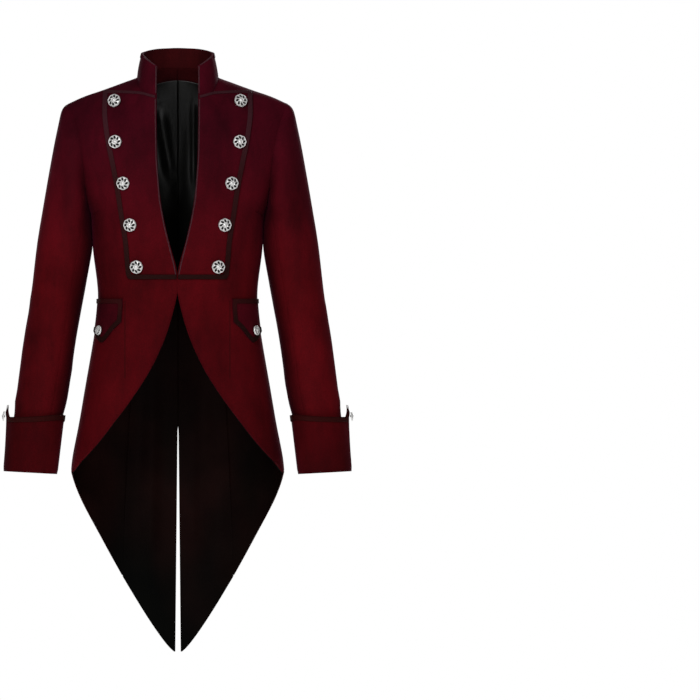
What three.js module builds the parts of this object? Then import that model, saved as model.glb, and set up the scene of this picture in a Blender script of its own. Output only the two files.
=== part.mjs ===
// Smoking jacket: a worn, hollow velvet tailcoat with no body inside.
// Millimetres. +X is the viewer's right, the front faces -Y, +Z is up.
// The origin is the middle of the neck base, where the wearer holds the jacket up.
import * as THREE from "three";

const VELVET = 2.0; // one layer of velvet with its backing
const COLLAR_WALL = 3.0; // two layers of velvet and a stiffener
const LINING = 1.0;
const SEAM = 0.3; // gap between pieces that are sewn together
const LAID_ON = 0.8; // height of a piece's underside over the panel that it lies on
const TRIM_GAP = 0.6; // height of a trim's underside over the piece that it edges
const SECTION_POWER = 2.3; // how square the horizontal sections of the torso are
const SIDE_ARC_RADIUS = 120; // turns a gap at the side into an angle
const RIDGE_DROP = 95; // the shoulders round over within this height
const ARMPIT_Z = -240;
const SHOULDER_TIP_X = 199;
const SHOULDER_TIP_Z = -35;
const NECK_SIDE_X = 73.5;
const NECK_SIDE_Z = 12.6;
const NECK_FRONT_X = 38;
const NECK_FRONT_Z = -20;
const NECK_BACK_Z = 31.5;
const HEM_SIDE_Z = -707; // the widest point, where the front hem meets the tail
const TAIL_TIP_Z = -1034;
const CUTAWAY_TOP_Z = -382; // the front edges part below here
const CLOSURE_TOP_Z = -345; // and above here
const VENT_TOP_Z = -620;
const VENT_HALF = 4.2; // half the vent's width at the tips
const PRINCESS_TOP_X = 98;
const PRINCESS_END_Z = -897;
const PLASTRON_LOW_Z = -355;
const BRAID_WIDE = 8;
const BRAID_THICK = 1.2;
const BUTTON_RADIUS = 12;
const SHANK_RADIUS = 2.5;
const SHANK_GAP = 0.5; // between a shank and the cloth that it is sewn to
const SMALL_BUTTON_RADIUS = 8.7;

// Half width of the torso at the side, seen from the front.
const HALF_WIDTH = table(["z", "x"], [
  [60, 216], [0, 216], [-50, 214], [-100, 203], [-145, 191], [-200, 174],
  [-225, 164], [ARMPIT_Z, 159], [-260, 157], [-298, 155], [-340, 149.6],
  [-388, 145.4], [-419, 147.6], [-453, 151.8], [-503, 160.2], [-574, 172.5],
  [-641, 184], [-682, 192.2], [HEM_SIDE_Z, 194.4], [-780, 197], [-1060, 199],
]);
// How far the torso's front and back stand from its side line.
const DEPTH = table(["z", "front", "back"], [
  [60, 78, 70], [0, 84, 80], [-60, 100, 103], [-150, 116, 117],
  [-240, 118, 114], [-300, 110, 104], [-388, 99, 94], [-450, 103, 103],
  [-550, 110, 120], [-640, 113, 128], [-707, 114, 130], [-850, 114, 128],
  [-1060, 114, 120],
]);
// The line where the body panels meet the sleeve, seen from the front.
const ARMHOLE = table(["z", "x"], [
  [60, SHOULDER_TIP_X], [SHOULDER_TIP_Z, SHOULDER_TIP_X], [-60, 190],
  [-100, 179], [-145, 172], [-200, 166], [-225, 161.5], [ARMPIT_Z, 159],
]);
// The shoulder line, carried on inside the neck.
const SHOULDER = table(["x", "z"], [
  [0, 66], [8, 65.9], [24, 58], [40, 45], [57, 29], [NECK_SIDE_X, NECK_SIDE_Z], [90, 6.6], [115, -2.6],
  [140, -11.6], [165, -20], [185, -28.2], [SHOULDER_TIP_X, SHOULDER_TIP_Z],
  [216, -44],
]);
const FRONT_NECK = table(["x", "z"], [
  [0, -20], [NECK_FRONT_X, NECK_FRONT_Z], [50, -17], [60, -11], [68, -1],
  [NECK_SIDE_X, NECK_SIDE_Z],
]);
const BACK_NECK = table(["x", "z"], [
  [0, NECK_BACK_Z], [30, 30], [55, 23.5], [NECK_SIDE_X, NECK_SIDE_Z],
]);
// Front edge: the open V, the closure and the cutaway.
const FRONT_EDGE = table(["z", "x"], [
  [60, NECK_FRONT_X], [NECK_FRONT_Z, NECK_FRONT_X], [-69, 37.7], [-136, 36.6],
  [-211, 30.6], [-257, 22.2], [-299, 11.8], [-332, 3.6], [CLOSURE_TOP_Z, 0.4],
  [CUTAWAY_TOP_Z, 0.4], [-411, 6.7], [-444, 16], [-482, 30.6], [-524, 51.5],
  [-557, 72.3], [-603, 105.7], [-641, 135], [-666, 156], [-695, 184],
  [HEM_SIDE_Z, 192.6],
]);
const PRINCESS = table(["z", "x"], [
  [60, PRINCESS_TOP_X], [-53, PRINCESS_TOP_X], [-104, 91.5], [-135, 84],
  [-183, 81], [-250, 80], [-388, 78], [-640, 91], [PRINCESS_END_Z, 100.9],
  [-1060, 101],
]);
const TAIL_EDGE = table(["z", "x"], [
  [HEM_SIDE_Z, 194.4], [-725, 189.8], [-761, 175], [-811, 148.5],
  [-870, 116.5], [-926, 84], [-980, 50], [-1017, 23], [-1030, 11],
  [TAIL_TIP_Z, 5.4],
]);
const PLASTRON_EDGE = table(["z", "x"], [
  [0, 135.5], [-13, 135.5], [-48, 136.3], [-98, 131], [-140, 122.5],
  [-194, 112.1], [-236, 105.7], [-290, 97.4], [-340, 93.2],
  [PLASTRON_LOW_Z, 90.5],
]);
const PLASTRON_TOP = table(["x", "z"], [
  [NECK_FRONT_X, -23], [50, -20], [62, -16.5], [100, -14.5], [140, -13.5],
]);
// Rings of the sleeve: its outer and inner line seen from the front, half its
// depth and how far forward its middle is.
const SLEEVE = table(["ring", "outX", "outZ", "inX", "inZ", "half", "ahead"], [
  [0, SHOULDER_TIP_X, SHOULDER_TIP_Z, 159.6, ARMPIT_Z, 58, 0],
  [1, 209.5, -44, 159, -247, 62, 0], [2, 215.5, -66, 158.2, -256, 65, 0],
  [3, 223, -100, 157.5, -266, 66, 0], [4, 230.5, -140, 156.8, -278, 65, 0],
  [5, 238.5, -185, 156.2, -291, 63, 0], [6, 247, -235, 158, -314, 60, 0],
  [7, 256, -290, 163.5, -346, 57, 0], [8, 263, -350, 171.5, -390, 55, -1],
  [9, 270, -405, 179, -430, 54, -4], [10, 279, -457, 187, -478, 52, -8],
  [11, 287, -515, 195, -535, 51, -12], [12, 294, -570, 203.5, -586, 50, -16],
  [13, 298, -605, 210, -608, 48, -18],
  [14, 306, -655, 216.2, -658, 47.5, -20],
  [15, 313.6, -700, 222.6, -703, 47, -22],
]);
const SLEEVE_RINGS = 15;
const UNDER_SLEEVE_FROM = 118; // degrees round from the outside, over the front
const UNDER_SLEEVE_TO = 246;
// The cuff's upper edge round from the outside, over the front.
const CUFF_TOP = table(["angle", "z"], [
  [0, -606], [45, -606], [90, -605], [135, -602], [180, -603], [225, -614],
  [270, -626], [315, -618], [360, -606],
]);
const CUFF_BOTTOM_OUT = { x: 317.8, z: -704.5 };
const CUFF_BOTTOM_IN = { x: 218.6, z: -710 };
const CUFF_TOP_OUT = { x: 308.5, z: -607 };
const CUFF_TOP_IN = { x: 205.8, z: -599 };
const CUFF_HALF = 54.5;
const CUFF_PEAK = 16;
const CUFF_PEAK_HALF_ANGLE = 17;
// The collar's upper edge from its front corner round to the back.
const COLLAR_TOP = table(["share", "x", "y", "z"], [
  [0, 38, -61, 33.5], [0.14, 53, -49, 44], [0.28, 62.5, -28, 51.5],
  [0.4, 65.5, -6, 56], [0.6, 57.5, 27, 60.5], [0.8, 34, 50, 65],
  [1, 0, 58, 66.5],
]);
const COLLAR_SIDE_SHARE = 0.4;
// Pocket flap: angles round the torso from the front, and heights.
const FLAP_FRONT_ANGLE = 40;
const FLAP_REAR_ANGLE = 83;
const FLAP_POINT_ANGLE = 60;
const FLAP_TOP_Z = -391;
const FLAP_FRONT_Z = -435;
const FLAP_POINT_Z = -471;
const FLAP_REAR_Z = -450;
const FLAP_MM_PER_DEGREE = 2.2;
const FLAP_BUTTON = { angle: 65.3, z: -449 };
const FRONT_BUTTONS = [
  { x: 116.5, z: -29 }, { x: 114.5, z: -105 }, { x: 100.2, z: -181 },
  { x: 87.7, z: -257 }, { x: 75.6, z: -333.5 },
];

const COLOURS = {
  velvet: 0x57101c, velvet_dark: 0x3c0a14, black: 0x141012, braid: 0x241418,
  silver: 0xb9b9bb,
};

function table(names, rows) {
  return { names, rows };
}

// Reads a named column of a table at a place, with a smooth curve between rows.
function read(source, column, at) {
  const rows = source.rows;
  const c = source.names.indexOf(column);
  const rising = rows[rows.length - 1][0] > rows[0][0];
  const sign = rising ? 1 : -1;
  const n = rows.length;
  let i = 0;
  while (i < n - 2 && (at - rows[i + 1][0]) * sign > 0) i++;
  const slopeAt = (k) => {
    if (k === 0 || k === n - 1) return null;
    const before = (rows[k][c] - rows[k - 1][c]) / (rows[k][0] - rows[k - 1][0]);
    const after = (rows[k + 1][c] - rows[k][c]) / (rows[k + 1][0] - rows[k][0]);
    if (before * after <= 0) return 0;
    return 2 * before * after / (before + after);
  };
  const x0 = rows[i][0];
  const x1 = rows[i + 1][0];
  const straight = (rows[i + 1][c] - rows[i][c]) / (x1 - x0);
  const m0 = slopeAt(i) ?? straight;
  const m1 = slopeAt(i + 1) ?? straight;
  const t = (at - x0) / (x1 - x0);
  if (t <= 0) return rows[i][c] + m0 * (at - x0);
  if (t >= 1) return rows[i + 1][c] + m1 * (at - x1);
  const w = x1 - x0;
  const t2 = t * t;
  const t3 = t2 * t;
  return (2 * t3 - 3 * t2 + 1) * rows[i][c] + (t3 - 2 * t2 + t) * w * m0
    + (3 * t2 - 2 * t3) * rows[i + 1][c] + (t3 - t2) * w * m1;
}

const mix = (a, b, t) => a + (b - a) * t;
const clamp = (v, lo, hi) => Math.min(hi, Math.max(lo, v));
const signedPower = (v, p) => Math.sign(v) * Math.abs(v) ** p;
const radians = (degrees) => degrees * Math.PI / 180;
const spread = (n) => Array.from({ length: n + 1 }, (_, i) => i / n);

const halfWidth = (z) => read(HALF_WIDTH, "x", z);
const shoulderZ = (x) => read(SHOULDER, "z", Math.abs(x));
const angleOf = (x, z) => {
  const share = clamp(x / halfWidth(z), 0, 1);
  return Math.asin(share ** (SECTION_POWER / 2));
};

// A point of the torso's outer surface, angle measured from the middle of its
// front or back. over is -1 past the shoulder ridge.
function torso(isFront, angle, z, over = 1) {
  const x = halfWidth(z) * signedPower(Math.sin(angle), 2 / SECTION_POWER);
  const depth = read(DEPTH, isFront ? "front" : "back", z)
    * signedPower(Math.cos(angle), 2 / SECTION_POWER);
  const drop = clamp((shoulderZ(x) - z) / RIDGE_DROP, 0, 1);
  const rounded = Math.sqrt(Math.max(0, 1 - (1 - drop) ** 2));
  const y = depth * rounded * over + SEAM / 2;
  return new THREE.Vector3(x, isFront ? -y : y, z);
}

// A closed wall over a grid. place(across, down) gives the surface that the
// offsets are measured from; the first offset is the outer face.
function wall(place, across, down, outer, inner, flip = false) {
  const step = 1e-3;
  const faces = [[], []];
  for (const d of down) {
    for (const a of across) {
      const point = place(a, d);
      const alongA = place(a + step, d).sub(place(a - step, d));
      const alongD = place(a, d + step).sub(place(a, d - step));
      const normal = alongA.cross(alongD).normalize();
      if (flip) normal.negate();
      faces[0].push(point.clone().addScaledVector(normal, outer));
      faces[1].push(point.clone().addScaledVector(normal, inner));
    }
  }
  return closed(faces, across.length, down.length);
}

// Joins two grids of points into a closed wall.
function closed(faces, columns, rows) {
  const points = faces.flat();
  const half = columns * rows;
  const index = [];
  const quad = (a, b, c, d) => index.push(a, b, c, a, c, d);
  for (let r = 0; r < rows - 1; r++) {
    for (let c = 0; c < columns - 1; c++) {
      const a = r * columns + c;
      quad(a, a + 1, a + columns + 1, a + columns);
      quad(half + a, half + a + columns, half + a + columns + 1, half + a + 1);
    }
  }
  const rim = [];
  for (let c = 0; c < columns - 1; c++) rim.push(c);
  for (let r = 0; r < rows - 1; r++) rim.push(r * columns + columns - 1);
  for (let c = columns - 1; c > 0; c--) rim.push((rows - 1) * columns + c);
  for (let r = rows - 1; r > 0; r--) rim.push(r * columns);
  rim.forEach((a, i) => {
    const b = rim[(i + 1) % rim.length];
    quad(b, a, half + a, half + b);
  });
  return solid(points, index);
}

function solid(points, index) {
  let volume = 0;
  for (let i = 0; i < index.length; i += 3) {
    const [a, b, c] = [points[index[i]], points[index[i + 1]], points[index[i + 2]]];
    volume += a.dot(b.clone().cross(c));
  }
  if (volume < 0) {
    for (let i = 0; i < index.length; i += 3) {
      [index[i], index[i + 1]] = [index[i + 1], index[i]];
    }
  }
  const geometry = new THREE.BufferGeometry();
  geometry.setAttribute("position", new THREE.Float32BufferAttribute(
    points.flatMap((p) => [p.x, p.y, p.z]), 3));
  geometry.setIndex(index);
  geometry.computeVertexNormals();
  return geometry;
}

function mirrored(geometry) {
  const source = geometry.getAttribute("position");
  const points = [];
  for (let i = 0; i < source.count; i++) {
    points.push(new THREE.Vector3(-source.getX(i), source.getY(i), source.getZ(i)));
  }
  return solid(points, [...geometry.getIndex().array]);
}

const jacket = new THREE.Group();
jacket.name = "smoking_jacket";

function add(name, geometry, colour) {
  const material = new THREE.MeshStandardMaterial({ color: COLOURS[colour] });
  const mesh = new THREE.Mesh(geometry, material);
  mesh.name = name;
  jacket.add(mesh);
}

function addPair(name, geometry, colour) {
  add(`${name}_right`, geometry, colour);
  add(`${name}_left`, mirrored(geometry), colour);
}

// Maps a panel's grid to the torso. down runs 0 to 1 from the shoulder or neck
// to the armpit level, then on to 2 at the hem. Edges are x values at a height.
function bodyPanel({ isFront, topX, topZ, innerX, outerX, hemZ }) {
  return (across, down) => {
    const share = clamp(across, 0, 1);
    const past = across - share;
    const columnX = mix(topX[0] + SEAM / 2, topX[1] - SEAM / 2, share);
    const ridge = shoulderZ(columnX);
    const start = Math.acos(clamp(1 - (ridge - topZ(columnX)) / RIDGE_DROP, -1, 1));
    let z;
    let over = 1;
    if (down < 0.5) {
      const turn = mix(start, Math.PI / 2, down / 0.5);
      z = ridge - RIDGE_DROP * (1 - Math.cos(turn));
      over = turn < 0 ? -1 : 1;
    } else if (down < 1) {
      const left = 1 - (down - 0.5) / 0.5;
      z = mix(ARMPIT_Z, ridge - RIDGE_DROP, left * Math.abs(left));
    } else {
      z = mix(ARMPIT_Z, hemZ, down - 1);
    }
    const fromX = innerX(z) + SEAM / 2;
    const toX = outerX(z) - SEAM / 2;
    const atTop = angleOf(mix(fromX, toX, share), z);
    const atSide = outerX(z) > halfWidth(z) - 1e-6;
    const low = angleOf(fromX, z);
    const high = atSide ? Math.PI / 2 - SEAM / 2 / SIDE_ARC_RADIUS : angleOf(toX, z);
    const at = mix(atTop, mix(low, high, share), clamp(down, 0, 1)) + past;
    return torso(isFront, at, z, over);
  };
}

// Rows of a body panel: over the shoulder, down to the armpit, down to the hem.
const SHOULDER_ROWS = [0, 0.09, 0.2, 0.275, 0.34, 0.42, 0.5];
const CHEST_ROWS = [0.6, 0.7, 0.8, 0.9, 1];
const rowsAt = (heights, hemZ) => heights.map((z) => 1 + (ARMPIT_Z - z) / (ARMPIT_Z - hemZ));
const SKIRT_HEIGHTS = [-268, -300, -342, -382, -411, -444, -482, -524, -570, -620, -666];
const neckOrShoulder = (neck) => (x) =>
  x < NECK_SIDE_X ? read(neck, "z", x) : shoulderZ(x);
const outerOrArmhole = (z) => z > ARMPIT_Z ? read(ARMHOLE, "x", z) : halfWidth(z);

const FRONT_HEM_Z = HEM_SIDE_Z + 1;
const frontPlace = bodyPanel({
  isFront: true,
  topX: [NECK_FRONT_X, SHOULDER_TIP_X],
  topZ: neckOrShoulder(FRONT_NECK),
  innerX: (z) => read(FRONT_EDGE, "x", z),
  outerX: outerOrArmhole,
  hemZ: FRONT_HEM_Z,
});
const frontAcross = [0, 0.06, 0.13, 0.22, 0.32, 0.43, 0.54, 0.65, 0.76, 0.88, 1];
const FRONT_LINING_ACROSS = [0, 0.13, 0.22, 0.32, 0.43, 0.65, 1];
const frontDown = [...SHOULDER_ROWS, ...CHEST_ROWS,
  ...rowsAt([...SKIRT_HEIGHTS, -690, FRONT_HEM_Z], FRONT_HEM_Z)];
addPair("front", wall(frontPlace, frontAcross, frontDown, 0, -VELVET, true), "velvet");
addPair("front_lining", wall(frontPlace, FRONT_LINING_ACROSS, frontDown,
  -VELVET - SEAM, -VELVET - SEAM - LINING, true), "black");

const backPlace = bodyPanel({
  isFront: false,
  topX: [0, PRINCESS_TOP_X],
  topZ: neckOrShoulder(BACK_NECK),
  innerX: (z) => VENT_HALF * clamp((VENT_TOP_Z - z) / (VENT_TOP_Z - TAIL_TIP_Z), 0, 1),
  outerX: (z) => Math.min(read(PRINCESS, "x", z), z < HEM_SIDE_Z
    ? read(TAIL_EDGE, "x", z) : 1e3),
  hemZ: TAIL_TIP_Z,
});
const backAcross = spread(5);
const backHeights = SKIRT_HEIGHTS.filter((z) => z !== -411 && z !== -482);
const backDown = [...SHOULDER_ROWS, ...CHEST_ROWS, ...rowsAt([...backHeights, -707, -761,
  -811, -855, PRINCESS_END_Z, -940, -980, -1012, -1028, TAIL_TIP_Z], TAIL_TIP_Z)];
addPair("back", wall(backPlace, backAcross, backDown, 0, -VELVET), "velvet");
const FACING_ROW = 2;
addPair("neck_facing", wall(backPlace, backAcross, backDown.slice(0, FACING_ROW + 1),
  -VELVET - SEAM, -VELVET - SEAM - LINING), "velvet_dark");
const belowFacing = backDown.slice(FACING_ROW);
belowFacing[0] += 0.004;
addPair("back_lining", wall(backPlace, backAcross, belowFacing,
  -VELVET - SEAM, -VELVET - SEAM - LINING), "black");

const SIDE_HEM_Z = PRINCESS_END_Z + 3;
const sidePlace = bodyPanel({
  isFront: false,
  topX: [PRINCESS_TOP_X, SHOULDER_TIP_X],
  topZ: shoulderZ,
  innerX: (z) => read(PRINCESS, "x", z),
  outerX: (z) => z > ARMPIT_Z ? read(ARMHOLE, "x", z)
    : z < HEM_SIDE_Z ? read(TAIL_EDGE, "x", z) : halfWidth(z),
  hemZ: SIDE_HEM_Z,
});
const sideAcross = spread(5);
const sideDown = [...SHOULDER_ROWS, ...CHEST_ROWS, ...rowsAt([...backHeights, -707, -725,
  -761, -811, -855, SIDE_HEM_Z], SIDE_HEM_Z)];
addPair("side_back", wall(sidePlace, sideAcross, sideDown, 0, -VELVET), "velvet");
addPair("side_back_lining", wall(sidePlace, sideAcross, sideDown,
  -VELVET - SEAM, -VELVET - SEAM - LINING), "black");

// Laid on the fronts: place(x or distance, z, height) gives a point and normal.
function frontSurface(x, z) {
  return torso(true, angleOf(x, z), z);
}
function lifted(surface, a, b, height) {
  const step = 0.05;
  const point = surface(a, b);
  const alongA = surface(a + step, b).sub(surface(a - step, b));
  const alongB = surface(a, b + step).sub(surface(a, b - step));
  const normal = alongA.cross(alongB).normalize();
  if (normal.y > 0 && point.y < 0) normal.negate();
  return { point: point.addScaledVector(normal, height), normal };
}

const plastronPlace = (across, down) => {
  const outerTop = read(PLASTRON_EDGE, "x", -14);
  const columnX = mix(NECK_FRONT_X, outerTop, across);
  const top = read(PLASTRON_TOP, "z", columnX);
  const z = mix(top, PLASTRON_LOW_Z, down);
  const x = mix(read(FRONT_EDGE, "x", z) + 0.6, read(PLASTRON_EDGE, "x", z), across);
  return frontSurface(x, z);
};
const plastronDown = [0, 0.03, 0.06, 0.09, 0.12, 0.16, 0.2, 0.25, 0.32, 0.4, 0.5, 0.6, 0.7,
  0.8, 0.9, 1];
addPair("plastron", wall(plastronPlace, spread(8), plastronDown,
  LAID_ON + VELVET, LAID_ON, true), "velvet");
const PLASTRON_FACE = LAID_ON + VELVET;

// A flat ribbon along a path of the surface, its width laid to the left of it.
function ribbon(surface, path, widths, low, high) {
  const rims = [[], []];
  const n = path.length;
  path.forEach((p, i) => {
    const before = path[Math.max(0, i - 1)];
    const after = path[Math.min(n - 1, i + 1)];
    const in1 = new THREE.Vector2(p[0] - before[0], p[1] - before[1]);
    const in2 = new THREE.Vector2(after[0] - p[0], after[1] - p[1]);
    if (i === 0) in1.copy(in2);
    if (i === n - 1) in2.copy(in1);
    in1.normalize();
    in2.normalize();
    const along = in1.clone().add(in2).normalize();
    const side = new THREE.Vector2(-along.y, along.x);
    const reach = widths[i] / Math.max(0.5, side.dot(new THREE.Vector2(-in1.y, in1.x)));
    rims[0].push(p);
    rims[1].push([p[0] + side.x * reach, p[1] + side.y * reach]);
  });
  const shares = [0, 0.5, 1];
  const faces = [[], []];
  for (let i = 0; i < n; i++) {
    for (const s of shares) {
      const a = mix(rims[0][i][0], rims[1][i][0], s);
      const b = mix(rims[0][i][1], rims[1][i][1], s);
      faces[0].push(lifted(surface, a, b, high).point);
      faces[1].push(lifted(surface, a, b, low).point);
    }
  }
  return closed(faces, shares.length, n);
}

const braidPath = [];
const braidWidths = [];
for (const t of spread(6)) {
  braidPath.push([mix(1.6, 84, t), PLASTRON_LOW_Z + 0.4]);
  braidWidths.push(BRAID_WIDE);
}
braidPath.push([88.3, PLASTRON_LOW_Z + 2]);
braidWidths.push(BRAID_WIDE);
for (const z of [-346, -318, -290, -263, -236, -215, -194, -167, -140, -119, -98, -86,
  -74, -64, -54, -44, -35, -27, -21]) {
  braidPath.push([read(PLASTRON_EDGE, "x", z) - 0.4, z]);
  braidWidths.push(BRAID_WIDE);
}
for (const x of [133.5, 121, 109, 97, 85, 73, 62, 50, 39.5]) {
  braidPath.push([x, read(PLASTRON_TOP, "z", x) - 0.5]);
  braidWidths.push(x > 130 ? 6 : 4);
}
addPair("plastron_braid", ribbon(frontSurface, braidPath, braidWidths,
  PLASTRON_FACE + TRIM_GAP, PLASTRON_FACE + TRIM_GAP + BRAID_THICK), "braid");

// Pocket flaps.
const flapSurface = (distance, z) =>
  torso(true, radians(distance / FLAP_MM_PER_DEGREE), z);
const flapBottom = (degrees) => {
  const t = degrees < FLAP_POINT_ANGLE
    ? (degrees - FLAP_FRONT_ANGLE) / (FLAP_POINT_ANGLE - FLAP_FRONT_ANGLE)
    : (FLAP_REAR_ANGLE - degrees) / (FLAP_REAR_ANGLE - FLAP_POINT_ANGLE);
  const end = degrees < FLAP_POINT_ANGLE ? FLAP_FRONT_Z : FLAP_REAR_Z;
  return mix(end, FLAP_POINT_Z, t - 0.06 * Math.sin(Math.PI * 2 * t));
};
const flapPlace = (across, down) => {
  const degrees = mix(FLAP_FRONT_ANGLE, FLAP_REAR_ANGLE, across);
  return flapSurface(degrees * FLAP_MM_PER_DEGREE,
    mix(FLAP_TOP_Z, flapBottom(clamp(degrees, FLAP_FRONT_ANGLE, FLAP_REAR_ANGLE)), down));
};
const flapPointShare = (FLAP_POINT_ANGLE - FLAP_FRONT_ANGLE)
  / (FLAP_REAR_ANGLE - FLAP_FRONT_ANGLE);
const flapAcross = spread(6).map((t) => flapPointShare * t)
  .concat(spread(5).slice(1).map((t) => mix(flapPointShare, 1, t)));
addPair("pocket_flap", wall(flapPlace, flapAcross, spread(4),
  LAID_ON + VELVET, LAID_ON, true), "velvet");
const flapPath = [];
const flapIn = 0.3;
const degreesToMm = (degrees) => degrees * FLAP_MM_PER_DEGREE;
for (const t of [0.98, 0.86, 0.74, 0.62, 0.5, 0.38, 0.26, 0.14, 0.02]) {
  flapPath.push([degreesToMm(mix(FLAP_FRONT_ANGLE, FLAP_REAR_ANGLE, t)), FLAP_TOP_Z - flapIn]);
}
for (const z of [-403, -418, FLAP_FRONT_Z + 2]) {
  flapPath.push([degreesToMm(FLAP_FRONT_ANGLE) + flapIn, z]);
}
for (const t of [0.06, 0.18, 0.3, 0.4, 0.465, 0.53, 0.62, 0.71, 0.8, 0.89, 0.98]) {
  const degrees = mix(FLAP_FRONT_ANGLE, FLAP_REAR_ANGLE, t);
  flapPath.push([degreesToMm(degrees), flapBottom(degrees) + flapIn]);
}
addPair("flap_braid", ribbon(flapSurface, flapPath, flapPath.map(() => BRAID_WIDE),
  PLASTRON_FACE + TRIM_GAP, PLASTRON_FACE + TRIM_GAP + BRAID_THICK), "braid");

// Sleeve: rings from the armhole to the hand.
function armhole(angle) {
  const isFront = Math.sin(angle) > 0;
  const height = mix(ARMPIT_Z, SHOULDER_TIP_Z, (1 + Math.cos(angle)) / 2);
  const z = clamp(height, ARMPIT_Z + 0.01, SHOULDER_TIP_Z - 0.001);
  const point = torso(isFront, angleOf(read(ARMHOLE, "x", z), z), z);
  const closeness = Math.min(1, Math.abs(Math.sin(angle)) * 6);
  point.y = point.y * closeness;
  point.x += 0.4;
  const middle = new THREE.Vector3(point.x, 0, (ARMPIT_Z + SHOULDER_TIP_Z) / 2);
  return point.addScaledVector(middle.sub(point).normalize(), 0.7);
}
function sleeveRing(angle, ring) {
  const at = clamp(ring, 0, SLEEVE_RINGS);
  const col = (name) => read(SLEEVE, name, at);
  const cos = signedPower(Math.cos(angle), 0.95);
  const sin = signedPower(Math.sin(angle), 0.95);
  const inX = Math.max(col("inX"), halfWidth(col("inZ")) + 0.7);
  return new THREE.Vector3(
    mix(inX, col("outX"), (1 + cos) / 2),
    col("ahead") - col("half") * sin,
    mix(col("inZ"), col("outZ"), (1 + cos) / 2),
  );
}
function sleeve(angle, ring) {
  const point = sleeveRing(angle, ring);
  if (ring < 3) {
    const part = (1 - Math.max(ring, 0) / 3) ** 2;
    point.addScaledVector(armhole(angle).sub(sleeveRing(angle, 0)), part);
  }
  return point;
}
const sleevePlace = (fromDegrees, toDegrees) => (across, down) => {
  const gap = 0.17;
  const degrees = mix(fromDegrees + gap, toDegrees - gap, across);
  return sleeve(radians(degrees), down * SLEEVE_RINGS);
};
const sleeveDown = spread(15);
const upperSleeve = sleevePlace(UNDER_SLEEVE_TO - 360, UNDER_SLEEVE_FROM);
const underSleeve = sleevePlace(UNDER_SLEEVE_FROM, UNDER_SLEEVE_TO);
addPair("upper_sleeve", wall(upperSleeve, spread(13), sleeveDown, 0, -VELVET), "velvet");
addPair("under_sleeve", wall(underSleeve, spread(6), sleeveDown, 0, -VELVET), "velvet");

// Cuff: a turned-back band, flared off the sleeve at its outer side.
const cuffPeak = (degrees) => {
  const off = Math.abs(((degrees + 180) % 360 + 360) % 360 - 180);
  return Math.max(0, 1 - off / CUFF_PEAK_HALF_ANGLE);
};
const cuffTop = (degrees) =>
  read(CUFF_TOP, "z", (degrees % 360 + 360) % 360) + CUFF_PEAK * cuffPeak(degrees);
function cuffRing(angle, share) {
  const cos = signedPower(Math.cos(angle), 0.95);
  const sin = signedPower(Math.sin(angle), 0.95);
  const outX = mix(CUFF_TOP_OUT.x, CUFF_BOTTOM_OUT.x, share);
  const inX = mix(CUFF_TOP_IN.x, CUFF_BOTTOM_IN.x, share);
  const round = (1 + cos) / 2;
  const degrees = angle * 180 / Math.PI;
  const z = mix(cuffTop(degrees), mix(CUFF_BOTTOM_IN.z, CUFF_BOTTOM_OUT.z, round), share);
  return new THREE.Vector3(
    mix(inX, outX, round) + 4 * cuffPeak(degrees) * (1 - share) ** 3,
    mix(-18.5, -22, share) - mix(CUFF_HALF, 52, share) * sin,
    z,
  );
}
const cuffSteps = [-180, -165, -150, -135, -120, -105, -90, -75, -60, -45, -31,
  -CUFF_PEAK_HALF_ANGLE, -8, 0, 8, CUFF_PEAK_HALF_ANGLE, 31, 45, 60, 75, 90, 105, 120, 135,
  150, 165, 180];
function loop(ringAt, degreesList, shares, outer, inner) {
  const faces = [[], []];
  const step = 1e-3;
  for (const share of shares) {
    for (const degrees of degreesList.slice(0, -1)) {
      const angle = radians(degrees);
      const point = ringAt(angle, share);
      const round = ringAt(angle + step, share).sub(ringAt(angle - step, share));
      round.z = 0;
      const along = ringAt(angle, share + step).sub(ringAt(angle, share - step));
      const normal = round.cross(along).normalize();
      faces[0].push(point.clone().addScaledVector(normal, outer));
      faces[1].push(point.clone().addScaledVector(normal, inner));
    }
  }
  const n = degreesList.length - 1;
  const half = faces[0].length;
  const index = [];
  const quad = (a, b, c, d) => index.push(a, b, c, a, c, d);
  for (let r = 0; r < shares.length - 1; r++) {
    for (let c = 0; c < n; c++) {
      const a = r * n + c;
      const b = r * n + (c + 1) % n;
      quad(a, b, b + n, a + n);
      quad(half + a, half + a + n, half + b + n, half + b);
    }
  }
  const last = (shares.length - 1) * n;
  for (let c = 0; c < n; c++) {
    const d = (c + 1) % n;
    quad(d, c, half + c, half + d);
    quad(last + c, last + d, half + last + d, half + last + c);
  }
  return solid(faces.flat(), index);
}
addPair("cuff", loop(cuffRing, cuffSteps, spread(3), 0, -VELVET), "velvet");
const cuffBraid = (angle, share) => cuffRing(angle, mix(0.004, 0.092, share));
addPair("cuff_braid", loop(cuffBraid, cuffSteps, [0, 1],
  TRIM_GAP + BRAID_THICK, TRIM_GAP), "braid");

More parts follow.
